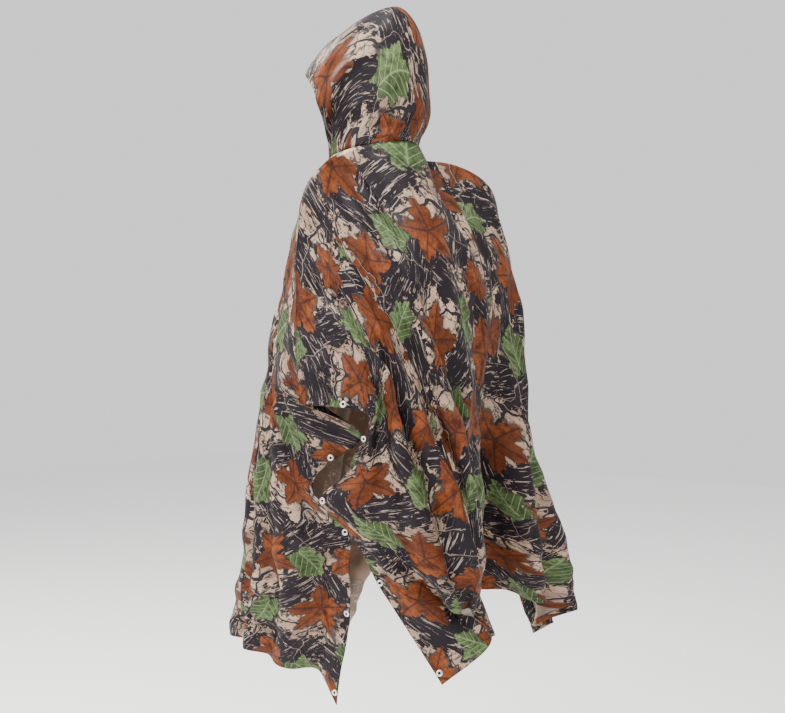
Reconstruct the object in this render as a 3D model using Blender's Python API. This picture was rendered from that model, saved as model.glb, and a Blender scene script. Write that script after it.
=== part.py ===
import math

import bmesh
import bpy
import numpy as np
from mathutils import Matrix, Vector

# Hooded rectangular rain poncho, worn. Metres, +Z up, the wearer faces -Y.
# The origin is the middle of the neck opening, at the height of the shoulder seams.

# --- flat cut ---
PANEL_HALF_WIDTH = 0.715     # centre line to side edge, front and back alike
PANEL_LENGTH = 1.09          # shoulder seam to bottom hem
HEM_DEPTH = 0.025            # hems are turned once to the inside
SEAM_GAP = 0.0003            # between one piece and the next
SEAM_START = 0.0010          # both panels begin this far down from the shoulder line
CLOTH = 0.0012               # wall of one layer
HEM_CLOTH = 0.0010           # wall of the turned strip
HEM_CLEAR = 0.0008           # turned strip to panel
END_PULL = 0.05              # share of a column that a bottom strip stops short of the sides

# --- sag of the left side edges, below the arm ---
DROOP_DOWN = 0.64
DROOP_LENGTH = 0.075
DROOP_REACH = 0.115
DROOP_SHIFT = (0.030, -0.048, 0.0)
FRONT_DROOP_SHIFT = (-0.022, 0.034, -0.012)
FACE_RECEDE = 1.3             # how much later the cheeks come forward than the brim

# --- neck and hood ---
NECK_RADIUS = 0.0955
NECK_SEAM_GAP = 0.0032       # hood foot to the edge of the neck opening
NECK_REACH = 0.11            # flat half width of the neck opening at the shoulder seam
NECK_FORWARD_DROP = 0.020
NECK_LEVEL = 0.010
NECK_ANGLE_FRONT = 24.0      # degrees from straight ahead to the foot of the face edge
NECK_ANGLE_BACK = 118.0
RIDGE_GAP = 0.0006           # between the two halves of the hood
HOOD_TURN = 27.0             # degrees towards the wearer's left

# --- eyelets ---
EYELET_OUTER_RADIUS = 0.0065
EYELET_HOLE_RADIUS = 0.0027
EYELET_HEIGHT = 0.0016
EYELET_INSET = 0.0125        # from the side edge
EYELET_LIFT = 0.0020         # from the cloth, so that a flat ring clears a bent panel

# --- how finely the cloth is divided ---
COLUMNS = 40
ROWS = 19
HOOD_ARCHES = 13
HOOD_STEPS = 11
EYELET_FACETS = 12

CM = 0.01
FALL_LEVELS = (0.0, 25.0, 50.0, 78.0, 109.0)

# Where the cloth hangs, in centimetres. One row per station across the flat width, from the
# right side edge to the left, and x, y, z at four distances down from the shoulder seam.
#  across  25 down                50 down                78 down                hem, 109 down
BACK_STATIONS = (
    (-71.5, (-36.0, -7.0, -53.0), (-40.0, -4.0, -70.0), (-46.0, 1.0, -88.0), (-50.5, 5.7, -105.0)),
    (-58.0, (-36.0, 6.0, -45.0), (-39.0, 7.5, -66.0), (-43.5, 12.0, -84.0), (-45.5, 14.5, -100.0)),
    (-46.0, (-33.0, 11.0, -40.0), (-35.5, 14.5, -61.0), (-38.5, 18.0, -81.0), (-40.0, 19.0, -96.0)),
    (-36.0, (-29.0, 16.5, -33.5), (-30.0, 17.0, -57.0), (-31.5, 18.5, -79.0), (-33.5, 19.0, -93.5)),
    (-27.0, (-22.5, 18.5, -28.5), (-22.5, 14.0, -53.0), (-25.0, 11.0, -76.0), (-29.0, 14.0, -91.8)),
    (-19.0, (-16.0, 18.5, -25.5), (-17.0, 13.5, -50.0), (-20.0, 5.5, -74.0), (-25.5, 7.0, -91.0)),
    (-11.0, (-9.5, 20.0, -23.0), (-12.0, 19.0, -47.0), (-14.5, 10.5, -72.5), (-22.0, 0.5, -91.5)),
    (-5.0, (-4.5, 20.5, -21.5), (-7.5, 20.5, -46.0), (-11.5, 18.0, -72.5), (-18.8, 1.5, -93.0)),
    (0.0, (0.0, 20.5, -21.5), (-4.0, 22.5, -46.0), (-8.5, 21.5, -72.5), (-16.0, 10.5, -94.5)),
    (5.0, (4.0, 20.5, -21.5), (-0.5, 24.5, -46.0), (-4.5, 20.5, -73.0), (-13.6, 17.5, -95.8)),
    (11.0, (8.0, 20.0, -23.0), (2.5, 25.0, -47.0), (0.0, 20.0, -74.0), (-12.2, 21.3, -97.0)),
    (19.0, (12.5, 19.5, -25.5), (6.0, 24.5, -49.0), (2.0, 24.0, -75.0), (-8.0, 20.5, -96.0)),
    (27.0, (17.0, 18.5, -29.0), (9.5, 26.5, -52.0), (5.0, 31.5, -76.5), (-3.5, 17.0, -96.0)),
    (36.0, (20.5, 17.5, -33.0), (13.5, 25.5, -56.0), (9.5, 31.0, -78.0), (2.5, 18.5, -95.5)),
    (46.0, (22.5, 18.5, -38.0), (17.5, 25.5, -60.0), (14.5, 31.0, -80.0), (4.0, 28.0, -95.0)),
    (58.0, (23.4, 19.8, -43.0), (20.6, 20.5, -60.0), (18.8, 23.5, -78.0), (7.0, 35.0, -93.5)),
    (71.5, (23.1, 18.4, -50.8), (21.8, 13.0, -60.5), (21.0, 14.0, -75.5), (14.8, 29.1, -100.6)),
)

FRONT_STATIONS = (
    (-71.5, (-26.5, -18.0, -58.0), (-26.5, -22.0, -75.0), (-26.0, -27.0, -88.0), (-24.0, -34.0, -104.0)),
    (-58.0, (-27.0, -13.0, -49.0), (-27.0, -15.5, -66.0), (-24.5, -21.5, -86.0), (-22.0, -28.0, -103.0)),
    (-46.0, (-27.5, -14.5, -41.0), (-24.5, -22.0, -61.0), (-21.5, -30.0, -83.0), (-18.5, -38.5, -102.0)),
    (-36.0, (-24.0, -11.5, -35.0), (-21.0, -15.0, -57.5), (-18.0, -21.0, -81.0), (-15.5, -28.5, -101.5)),
    (-27.0, (-19.0, -15.5, -31.0), (-17.0, -23.0, -54.5), (-14.5, -30.5, -79.0), (-12.5, -38.5, -101.0)),
    (-19.0, (-14.0, -14.5, -28.0), (-12.5, -17.0, -52.0), (-11.0, -21.5, -78.0), (-9.0, -28.5, -100.5)),
    (-11.0, (-8.5, -18.5, -26.0), (-8.0, -24.0, -50.0), (-7.0, -30.0, -77.0), (-5.5, -38.0, -100.0)),
    (-5.0, (-4.0, -18.0, -25.0), (-4.0, -22.0, -49.5), (-3.5, -26.5, -77.0), (-2.5, -33.5, -100.0)),
    (0.0, (0.0, -17.0, -25.0), (-0.5, -19.5, -49.5), (-0.5, -23.0, -77.0), (0.0, -29.5, -100.0)),
    (5.0, (3.5, -17.5, -25.0), (3.0, -21.5, -49.5), (2.5, -26.5, -77.0), (2.5, -33.5, -99.5)),
    (11.0, (7.0, -17.5, -25.5), (6.5, -23.0, -50.0), (6.0, -28.5, -77.5), (5.5, -36.0, -99.0)),
    (19.0, (12.0, -13.0, -28.0), (12.0, -16.5, -52.0), (11.0, -20.0, -79.0), (10.5, -26.0, -99.0)),
    (27.0, (16.5, -11.5, -31.0), (16.5, -17.0, -55.0), (16.5, -21.0, -81.0), (15.0, -26.0, -99.0)),
    (36.0, (20.5, -6.5, -34.5), (20.5, -11.0, -58.5), (20.5, -13.5, -83.0), (18.5, -18.0, -99.0)),
    (46.0, (23.8, -5.0, -39.5), (24.0, -9.0, -62.0), (23.0, -10.0, -84.5), (21.5, -12.5, -99.5)),
    (58.0, (25.6, -0.5, -46.0), (24.7, -2.5, -62.0), (23.3, 1.0, -83.0), (21.5, -2.5, -101.0)),
    (66.0, (22.8, 6.0, -51.5), (23.8, 1.2, -63.5), (22.3, 7.0, -82.0), (20.5, 4.0, -101.6)),
    (71.5, (18.6, 12.6, -55.2), (22.8, 3.8, -64.5), (20.9, 11.8, -82.0), (20.0, 7.5, -107.0)),
)

# The shoulder line from the side of the neck down the arm, in centimetres: across, x, y, z.
RIGHT_SHOULDER = (
    (-71.5, -29.0, -12.0, -39.0),
    (-58.0, -31.0, -1.0, -32.5),
    (-46.0, -30.5, 8.5, -23.5),
    (-36.0, -29.5, 11.0, -13.5),
    (-27.0, -26.0, 10.8, -4.3),
    (-19.0, -18.6, 7.0, 0.0),
    (-11.0, -9.55, 0.0, 1.0),
)
LEFT_SHOULDER = (
    (11.0, 9.55, 0.0, 1.0),
    (19.0, 17.8, 2.6, -2.2),
    (27.0, 24.0, 3.2, -7.5),
    (36.0, 27.0, 4.2, -15.5),
    (46.0, 28.6, 5.2, -25.0),
    (58.0, 30.0, 6.4, -36.0),
    (71.5, 31.0, 8.0, -48.5),
)

# Hood, one row per arch from the face edge to the back of the neck seam, in centimetres.
#  forward and height of the ridge, half width
HOOD_RIDGE = (
    (13.8, 17.8, 8.0),
    (12.0, 20.6, 8.8),
    (8.6, 24.2, 9.4),
    (4.2, 27.4, 9.8),
    (-1.0, 30.2, 9.8),
    (-5.6, 31.4, 9.6),
    (-8.8, 28.6, 9.4),
    (-10.6, 24.2, 9.2),
    (-11.6, 19.0, 9.1),
    (-12.2, 13.5, 9.0),
    (-11.4, 8.6, 9.0),
    (-10.0, 5.0, 9.0),
    (-9.1, 2.7, 9.0),
)

# Eyelets down one side edge, distance up from the front bottom corner, in centimetres.
EYELET_PLACES = (2.2, 22.0, 46.0, 71.0, 96.0, 122.0, 147.0, 172.0, 196.0, 215.8)

for each_object in list(bpy.data.objects):
    bpy.data.objects.remove(each_object, do_unlink=True)

poncho = bpy.data.collections.new("rain_poncho")
bpy.context.scene.collection.children.link(poncho)


def make_material(name, colour, roughness, metallic=0.0):
    material = bpy.data.materials.new(name)
    material.use_nodes = True
    shader = material.node_tree.nodes["Principled BSDF"]
    shader.inputs["Base Color"].default_value = (*colour, 1.0)
    shader.inputs["Roughness"].default_value = roughness
    shader.inputs["Metallic"].default_value = metallic
    return material


PRINTED_CLOTH = make_material("printed coated polyester", (0.26, 0.19, 0.13), 0.5)
HOOD_CLOTH = make_material("printed hood cloth", (0.27, 0.20, 0.15), 0.5)
HEM_MATERIAL = make_material("turned printed hem", (0.22, 0.16, 0.12), 0.55)
EYELET_METAL = make_material("bright eyelet metal", (0.72, 0.70, 0.64), 0.3, 1.0)


def spline_slopes(stations, values):
    """Slopes that run a smooth line through uneven stations without overshooting much."""
    gaps = np.diff(stations)
    steps = np.diff(values, axis=0) / gaps[:, None]
    slopes = np.zeros_like(values)
    slopes[0] = steps[0]
    slopes[-1] = steps[-1]
    before = gaps[:-1][:, None]
    after = gaps[1:][:, None]
    slopes[1:-1] = (steps[:-1] * after + steps[1:] * before) / (before + after)
    return slopes


def smooth_through(stations, values, wanted):
    stations = np.asarray(stations, float)
    values = np.asarray(values, float)
    slopes = spline_slopes(stations, values)
    wanted = np.clip(np.asarray(wanted, float), stations[0], stations[-1])
    cell = np.clip(np.searchsorted(stations, wanted, side="right") - 1, 0, len(stations) - 2)
    width = stations[cell + 1] - stations[cell]
    part = ((wanted - stations[cell]) / width)[:, None]
    width = width[:, None]
    start = (1 + 2 * part) * (1 - part) ** 2
    leave = part * (1 - part) ** 2
    end = part ** 2 * (3 - 2 * part)
    arrive = part ** 2 * (part - 1)
    return (start * values[cell] + leave * width * slopes[cell]
            + end * values[cell + 1] + arrive * width * slopes[cell + 1])


def neck_height(x, y):
    """Height of the neck seam, lowest at the front."""
    return NECK_LEVEL + NECK_FORWARD_DROP * y / NECK_RADIUS


def shoulder_line(across, behind):
    """Top edge of a panel: the round of the neck, then the shoulder and the arm."""
    line = np.zeros((len(across), 3))
    for table in (RIGHT_SHOULDER, LEFT_SHOULDER):
        stations = [row[0] for row in table]
        inside = (across / CM >= stations[0]) & (across / CM <= stations[-1])
        places = smooth_through(stations, [row[1:] for row in table], across[inside] / CM)
        line[inside] = places
    round_neck = np.abs(across) < NECK_REACH
    turned = across[round_neck] / NECK_REACH * math.pi / 2
    x = NECK_RADIUS * np.sin(turned)
    y = NECK_RADIUS * np.cos(turned) * behind
    line[round_neck] = np.stack((x, y, neck_height(x, y)), axis=1) / CM
    return line


def side_droop(across, down):
    """How much a panel's left side edge sags below the arm, from 0 to 1."""
    along = np.exp(-((down - DROOP_DOWN) / DROOP_LENGTH) ** 2)
    near_edge = np.exp(-((PANEL_HALF_WIDTH - across) / DROOP_REACH) ** 2)
    return along[:, None, None] * near_edge[None, :, None]


def panel_surface(table, across, down, behind):
    """Points of a panel, rows running down and columns across, in metres."""
    stations = [row[0] for row in table]
    levels = [shoulder_line(across, behind)]
    for level in range(1, len(FALL_LEVELS)):
        places = [row[level] for row in table]
        levels.append(smooth_through(stations, places, across / CM))
    by_level = np.stack(levels)
    columns = []
    for column in range(len(across)):
        columns.append(smooth_through(FALL_LEVELS, by_level[:, column, :], down / CM))
    surface = np.stack(columns, axis=1) * CM
    shift = DROOP_SHIFT if behind > 0 else FRONT_DROOP_SHIFT
    surface = surface + side_droop(across, down) * np.array(shift)
    return surface


def surface_normals(points, outward):
    along = np.gradient(points, axis=0)
    across = np.gradient(points, axis=1)
    normals = np.cross(along, across) * outward
    lengths = np.linalg.norm(normals, axis=2, keepdims=True)
    return normals / np.maximum(lengths, 1e-12)


def share_direction(first, second):
    both = first + second
    both /= np.linalg.norm(both, axis=-1, keepdims=True)
    return both


def layer_solid(name, outer, inner, material, flip):
    """A closed wall between two grids of points."""
    rows, columns = outer.shape[:2]
    mesh = bmesh.new()
    tops = [[mesh.verts.new(outer[r, c]) for c in range(columns)] for r in range(rows)]
    lows = [[mesh.verts.new(inner[r, c]) for c in range(columns)] for r in range(rows)]

    def face(first, second, third, fourth):
        # split along the same diagonal on every layer, so that layers stay apart
        for corners in ((first, second, third), (first, third, fourth)):
            mesh.faces.new(corners[::-1] if flip else corners)

    for r in range(rows - 1):
        for c in range(columns - 1):
            face(tops[r][c], tops[r + 1][c], tops[r + 1][c + 1], tops[r][c + 1])
            face(lows[r + 1][c + 1], lows[r + 1][c], lows[r][c], lows[r][c + 1])
    for r in range(rows - 1):
        face(tops[r][0], lows[r][0], lows[r + 1][0], tops[r + 1][0])
        face(tops[r][-1], tops[r + 1][-1], lows[r + 1][-1], lows[r][-1])
    for c in range(columns - 1):
        face(tops[0][c], tops[0][c + 1], lows[0][c + 1], lows[0][c])
        face(tops[-1][c], lows[-1][c], lows[-1][c + 1], tops[-1][c + 1])
    data = bpy.data.meshes.new(name)
    mesh.to_mesh(data)
    mesh.free()
    piece = bpy.data.objects.new(name, data)
    piece.data.materials.append(material)
    poncho.objects.link(piece)
    return piece


def even_steps(first, last, count):
    return np.linspace(first, last, count)


# --- front and back panels ---
HEM_LINE = PANEL_HALF_WIDTH - HEM_DEPTH
across = np.concatenate((
    [-PANEL_HALF_WIDTH],
    even_steps(-HEM_LINE, HEM_LINE, COLUMNS),
    [PANEL_HALF_WIDTH],
))
down = np.append(even_steps(SEAM_START, PANEL_LENGTH - HEM_DEPTH, ROWS), PANEL_LENGTH)
back = panel_surface(BACK_STATIONS, across, down, 1.0)
front = panel_surface(FRONT_STATIONS, across, down, -1.0)
back_normals = surface_normals(back, -1.0)
front_normals = surface_normals(front, 1.0)
on_shoulder = np.abs(across) >= NECK_REACH
shared = share_direction(back_normals[0], front_normals[0])
back_normals[0][on_shoulder] = shared[on_shoulder]
front_normals[0][on_shoulder] = shared[on_shoulder]
# the two top rows stand half a gap to each side of the seam
apart = np.array([0.0, SEAM_GAP / 2, 0.0])
back[0] += apart
front[0] -= apart

back_inner = back - back_normals * CLOTH
front_inner = front - front_normals * CLOTH
layer_solid("BACK_PANEL", back, back_inner, PRINTED_CLOTH, True)
layer_solid("FRONT_PANEL", front, front_inner, PRINTED_CLOTH, False)


def hem_strip(name, points, normals, pull_ends, flip):
    """A turned edge lying just inside its panel, made from the panel's own points moved in."""
    points = points.copy()
    normals = normals.copy()
    for grid in (points, normals):
        if pull_ends:
            grid[:, 0] += (grid[:, 1] - grid[:, 0]) * END_PULL
            grid[:, -1] += (grid[:, -2] - grid[:, -1]) * END_PULL
    top = points - normals * (CLOTH + HEM_CLEAR)
    low = top - normals * HEM_CLOTH
    return layer_solid(name, top, low, HEM_MATERIAL, flip)


# --- turned hems: bottom edges between the side strips, then the side edges ---
for label, points, normals, flip in (
    ("BACK", back, back_normals, True),
    ("FRONT", front, front_normals, False),
):
    hem_strip(label + "_BOTTOM_HEM", points[-2:, 1:-1], normals[-2:, 1:-1], True, flip)
    hem_strip(label + "_LEFT_HEM", points[1:, -2:], normals[1:, -2:], False, flip)
    hem_strip(label + "_RIGHT_HEM", points[1:, :2], normals[1:, :2], False, flip)


# --- hood: arches from the face edge to the back of the neck seam ---
def hood_half(side):
    """Outer surface of one half hood, arches by steps from the neck foot to the ridge."""
    ring = NECK_RADIUS - NECK_SEAM_GAP
    grid = np.zeros((HOOD_ARCHES, HOOD_STEPS, 3))
    turn = math.radians(HOOD_TURN)
    for arch, (ridge_forward, ridge_height, half_width) in enumerate(HOOD_RIDGE):
        share = arch / (HOOD_ARCHES - 1)
        foot = math.radians(NECK_ANGLE_FRONT + (NECK_ANGLE_BACK - NECK_ANGLE_FRONT) * share)
        lie_flat = share ** 5
        for step in range(HOOD_STEPS):
            rise = step / (HOOD_STEPS - 1)
            angle = rise * math.pi / 2
            foot_across = ring * math.sin(foot)
            belly = min(1.0, 2.6 * rise)
            belly = belly * belly * (3 - 2 * belly)
            out = foot_across + (half_width * CM - foot_across) * belly
            climb = math.sin(angle) ** 0.80
            jut = math.sin(angle) ** (0.80 + FACE_RECEDE * (1 - share) ** 3)
            wide = out * math.cos(angle) ** 0.72
            forward = ring * math.cos(foot) * (1 - jut) + ridge_forward * CM * jut
            round_back = foot + (math.pi - foot) * rise
            wide += (ring * math.sin(round_back) - wide) * lie_flat
            forward += (ring * math.cos(round_back) - forward) * lie_flat
            x, y = turned_place(side * max(wide, RIDGE_GAP / 2), -forward, turn)
            foot_x, foot_y = turned_place(side * foot_across, -ring * math.cos(foot), turn)
            base = neck_height(foot_x, foot_y)
            height = base + (ridge_height * CM - base) * climb
            height += (neck_height(x, y) - height) * lie_flat
            grid[arch, step] = (x, y, height)
    return grid


def turned_place(x, y, turn):
    return x * math.cos(turn) - y * math.sin(turn), x * math.sin(turn) + y * math.cos(turn)


left_hood = hood_half(1.0)
right_hood = hood_half(-1.0)
left_normals = surface_normals(left_hood, 1.0)
right_normals = surface_normals(right_hood, -1.0)
ridge_direction = share_direction(left_normals[:, -1], right_normals[:, -1])
left_normals[:, -1] = ridge_direction
right_normals[:, -1] = ridge_direction
layer_solid("HOOD_LEFT", left_hood, left_hood - left_normals * CLOTH, HOOD_CLOTH, False)
layer_solid("HOOD_RIGHT", right_hood, right_hood - right_normals * CLOTH, HOOD_CLOTH, True)

# --- eyelets: turned rings lying on the side edges ---
def eyelet_ring(name, centre, outward):
    """A small flanged ring turned about its own axis and stood on the cloth."""
    profile = (
        (EYELET_HOLE_RADIUS, 0.0),
        (EYELET_OUTER_RADIUS, 0.0),
        (EYELET_OUTER_RADIUS * 0.92, EYELET_HEIGHT * 0.55),
        (EYELET_OUTER_RADIUS * 0.62, EYELET_HEIGHT),
        (EYELET_HOLE_RADIUS, EYELET_HEIGHT * 0.7),
    )
    mesh = bmesh.new()
    corners = [mesh.verts.new((radius, 0.0, height)) for radius, height in profile]
    edges = [mesh.edges.new((corners[i], corners[(i + 1) % len(corners)])) for i in range(len(corners))]
    bmesh.ops.spin(
        mesh,
        geom=corners + edges,
        cent=(0, 0, 0),
        axis=(0, 0, 1),
        angle=math.tau,
        steps=EYELET_FACETS,
        use_merge=True,
        use_duplicate=False,
    )
    bmesh.ops.remove_doubles(mesh, verts=mesh.verts, dist=0.00001)
    bmesh.ops.recalc_face_normals(mesh, faces=mesh.faces)
    data = bpy.data.meshes.new(name)
    mesh.to_mesh(data)
    mesh.free()
    ring = bpy.data.objects.new(name, data)
    facing = Vector((0, 0, 1)).rotation_difference(Vector(outward)).to_matrix().to_4x4()
    ring.data.transform(Matrix.Translation(Vector(centre)) @ facing)
    ring.data.materials.append(EYELET_METAL)
    poncho.objects.link(ring)
    return ring


def place_eyelets(side, label):
    """Rings along one side edge, counted from the front bottom corner to the back one."""
    edge_place = np.array([side * (PANEL_HALF_WIDTH - EYELET_INSET)])
    for count, up in enumerate(EYELET_PLACES, start=1):
        from_front = up * CM
        in_front = from_front < PANEL_LENGTH
        below = abs(PANEL_LENGTH - from_front)
        below = min(below, PANEL_LENGTH - EYELET_INSET)
        surface = front if in_front else back
        normals = front_normals if in_front else back_normals
        centre, outward = on_grid(surface, normals, edge_place[0], below)
        lift = EYELET_LIFT
        eyelet_ring("EYELET_" + label + "_" + str(count), centre + outward * lift, outward)


def on_grid(surface, normals, place_across, place_down):
    """Point and outward direction on the built facets of a panel."""
    column = int(np.clip(np.searchsorted(across, place_across) - 1, 0, len(across) - 2))
    row = int(np.clip(np.searchsorted(down, place_down) - 1, 0, len(down) - 2))
    right = (place_across - across[column]) / (across[column + 1] - across[column])
    low = (place_down - down[row]) / (down[row + 1] - down[row])

    def blend(grid):
        top = grid[row, column] * (1 - right) + grid[row, column + 1] * right
        bottom = grid[row + 1, column] * (1 - right) + grid[row + 1, column + 1] * right
        return top * (1 - low) + bottom * low

    outward = blend(normals)
    return blend(surface), outward / np.linalg.norm(outward)


place_eyelets(1.0, "LEFT")
place_eyelets(-1.0, "RIGHT")
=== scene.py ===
import math

import bmesh
import bpy
import numpy as np
from mathutils import Matrix, Vector


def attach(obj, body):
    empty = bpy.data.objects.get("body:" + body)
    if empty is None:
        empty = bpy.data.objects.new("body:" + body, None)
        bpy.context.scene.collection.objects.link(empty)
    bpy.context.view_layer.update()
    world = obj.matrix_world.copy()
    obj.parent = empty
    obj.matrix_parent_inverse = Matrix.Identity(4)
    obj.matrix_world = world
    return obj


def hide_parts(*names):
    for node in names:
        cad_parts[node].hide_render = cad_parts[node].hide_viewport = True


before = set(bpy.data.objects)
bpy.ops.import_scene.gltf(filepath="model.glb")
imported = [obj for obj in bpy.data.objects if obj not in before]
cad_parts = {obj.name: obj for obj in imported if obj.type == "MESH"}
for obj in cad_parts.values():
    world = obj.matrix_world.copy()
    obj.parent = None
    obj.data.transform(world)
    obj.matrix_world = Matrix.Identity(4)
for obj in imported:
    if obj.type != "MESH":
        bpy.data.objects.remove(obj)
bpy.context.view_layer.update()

# --- flat cut, metres ---
PANEL_HALF_WIDTH = 0.715
PANEL_LENGTH = 1.09
HEM_DEPTH = 0.025
SHELL = 0.0006
STRIP_CLEAR = 0.0003
STRIP_SHELL = 0.0005
SEAM_START = 0.0010

# --- sag of the left side edges, below the arm ---
DROOP_DOWN = 0.64
DROOP_LENGTH = 0.075
DROOP_REACH = 0.115
DROOP_SHIFT = (0.030, -0.048, 0.0)
FRONT_DROOP_SHIFT = (-0.022, 0.034, -0.012)
FACE_RECEDE = 1.3

# --- neck and hood ---
NECK_RADIUS = 0.0955
NECK_SEAM_GAP = 0.0032
NECK_REACH = 0.11
NECK_FORWARD_DROP = 0.020
NECK_LEVEL = 0.010
NECK_ANGLE_FRONT = 24.0
NECK_ANGLE_BACK = 118.0
RIDGE_GAP = 0.0006
HOOD_TURN = 27.0

# --- eyelets ---
EYELET_RADIUS = 0.0065
EYELET_HOLE = 0.0027
EYELET_HEIGHT = 0.0016
EYELET_INSET = 0.0125

# --- how finely the visible cloth is divided ---
PANEL_COLUMNS = 240
PANEL_ROWS = 150
HOOD_ROWS = 110
HOOD_COLUMNS = 90
LAST_ARCH = 12               # hood arches run from 0 at the face edge to 12 at the neck seam
LAST_STEP = 10.0             # and steps from 0 at the neck foot to 10 at the ridge

# --- unevenness of the cloth: size across and height, metres ---
PANEL_CREASE_GAIN = 1.25
PANEL_CRUMPLE = (0.095, 0.0042)
FINE_CRUMPLE = (0.045, 0.0008)
HOOD_CRUMPLE = (0.085, 0.0030)
STRIP_PRINT_SHIFT = (0.31, 0.17)

CM = 0.01
FALL_LEVELS = (0.0, 25.0, 50.0, 78.0, 109.0)

# Where the cloth hangs, in centimetres. One row per station across the flat width, from the
# right side edge to the left, with x, y, z at 25, 50, 78 and 109 down from the shoulder seam.
# RIGHT_SHOULDER and LEFT_SHOULDER give across, x, y, z along the seam. HOOD_RIDGE gives the
# ridge's forward reach and height and the hood's half width, one row per arch.
BACK_STATIONS = (
    (-71.5, (-36.0, -7.0, -53.0), (-40.0, -4.0, -70.0), (-46.0, 1.0, -88.0), (-50.5, 5.7, -105.0)),
    (-58.0, (-36.0, 6.0, -45.0), (-39.0, 7.5, -66.0), (-43.5, 12.0, -84.0), (-45.5, 14.5, -100.0)),
    (-46.0, (-33.0, 11.0, -40.0), (-35.5, 14.5, -61.0), (-38.5, 18.0, -81.0), (-40.0, 19.0, -96.0)),
    (-36.0, (-29.0, 16.5, -33.5), (-30.0, 17.0, -57.0), (-31.5, 18.5, -79.0), (-33.5, 19.0, -93.5)),
    (-27.0, (-22.5, 18.5, -28.5), (-22.5, 14.0, -53.0), (-25.0, 11.0, -76.0), (-29.0, 14.0, -91.8)),
    (-19.0, (-16.0, 18.5, -25.5), (-17.0, 13.5, -50.0), (-20.0, 5.5, -74.0), (-25.5, 7.0, -91.0)),
    (-11.0, (-9.5, 20.0, -23.0), (-12.0, 19.0, -47.0), (-14.5, 10.5, -72.5), (-22.0, 0.5, -91.5)),
    (-5.0, (-4.5, 20.5, -21.5), (-7.5, 20.5, -46.0), (-11.5, 18.0, -72.5), (-18.8, 1.5, -93.0)),
    (0.0, (0.0, 20.5, -21.5), (-4.0, 22.5, -46.0), (-8.5, 21.5, -72.5), (-16.0, 10.5, -94.5)),
    (5.0, (4.0, 20.5, -21.5), (-0.5, 24.5, -46.0), (-4.5, 20.5, -73.0), (-13.6, 17.5, -95.8)),
    (11.0, (8.0, 20.0, -23.0), (2.5, 25.0, -47.0), (0.0, 20.0, -74.0), (-12.2, 21.3, -97.0)),
    (19.0, (12.5, 19.5, -25.5), (6.0, 24.5, -49.0), (2.0, 24.0, -75.0), (-8.0, 20.5, -96.0)),
    (27.0, (17.0, 18.5, -29.0), (9.5, 26.5, -52.0), (5.0, 31.5, -76.5), (-3.5, 17.0, -96.0)),
    (36.0, (20.5, 17.5, -33.0), (13.5, 25.5, -56.0), (9.5, 31.0, -78.0), (2.5, 18.5, -95.5)),
    (46.0, (22.5, 18.5, -38.0), (17.5, 25.5, -60.0), (14.5, 31.0, -80.0), (4.0, 28.0, -95.0)),
    (58.0, (23.4, 19.8, -43.0), (20.6, 20.5, -60.0), (18.8, 23.5, -78.0), (7.0, 35.0, -93.5)),
    (71.5, (23.1, 18.4, -50.8), (21.8, 13.0, -60.5), (21.0, 14.0, -75.5), (14.8, 29.1, -100.6)),
)

FRONT_STATIONS = (
    (-71.5, (-26.5, -18.0, -58.0), (-26.5, -22.0, -75.0), (-26.0, -27.0, -88.0), (-24.0, -34.0, -104.0)),
    (-58.0, (-27.0, -13.0, -49.0), (-27.0, -15.5, -66.0), (-24.5, -21.5, -86.0), (-22.0, -28.0, -103.0)),
    (-46.0, (-27.5, -14.5, -41.0), (-24.5, -22.0, -61.0), (-21.5, -30.0, -83.0), (-18.5, -38.5, -102.0)),
    (-36.0, (-24.0, -11.5, -35.0), (-21.0, -15.0, -57.5), (-18.0, -21.0, -81.0), (-15.5, -28.5, -101.5)),
    (-27.0, (-19.0, -15.5, -31.0), (-17.0, -23.0, -54.5), (-14.5, -30.5, -79.0), (-12.5, -38.5, -101.0)),
    (-19.0, (-14.0, -14.5, -28.0), (-12.5, -17.0, -52.0), (-11.0, -21.5, -78.0), (-9.0, -28.5, -100.5)),
    (-11.0, (-8.5, -18.5, -26.0), (-8.0, -24.0, -50.0), (-7.0, -30.0, -77.0), (-5.5, -38.0, -100.0)),
    (-5.0, (-4.0, -18.0, -25.0), (-4.0, -22.0, -49.5), (-3.5, -26.5, -77.0), (-2.5, -33.5, -100.0)),
    (0.0, (0.0, -17.0, -25.0), (-0.5, -19.5, -49.5), (-0.5, -23.0, -77.0), (0.0, -29.5, -100.0)),
    (5.0, (3.5, -17.5, -25.0), (3.0, -21.5, -49.5), (2.5, -26.5, -77.0), (2.5, -33.5, -99.5)),
    (11.0, (7.0, -17.5, -25.5), (6.5, -23.0, -50.0), (6.0, -28.5, -77.5), (5.5, -36.0, -99.0)),
    (19.0, (12.0, -13.0, -28.0), (12.0, -16.5, -52.0), (11.0, -20.0, -79.0), (10.5, -26.0, -99.0)),
    (27.0, (16.5, -11.5, -31.0), (16.5, -17.0, -55.0), (16.5, -21.0, -81.0), (15.0, -26.0, -99.0)),
    (36.0, (20.5, -6.5, -34.5), (20.5, -11.0, -58.5), (20.5, -13.5, -83.0), (18.5, -18.0, -99.0)),
    (46.0, (23.8, -5.0, -39.5), (24.0, -9.0, -62.0), (23.0, -10.0, -84.5), (21.5, -12.5, -99.5)),
    (58.0, (25.6, -0.5, -46.0), (24.7, -2.5, -62.0), (23.3, 1.0, -83.0), (21.5, -2.5, -101.0)),
    (66.0, (22.8, 6.0, -51.5), (23.8, 1.2, -63.5), (22.3, 7.0, -82.0), (20.5, 4.0, -101.6)),
    (71.5, (18.6, 12.6, -55.2), (22.8, 3.8, -64.5), (20.9, 11.8, -82.0), (20.0, 7.5, -107.0)),
)

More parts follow.
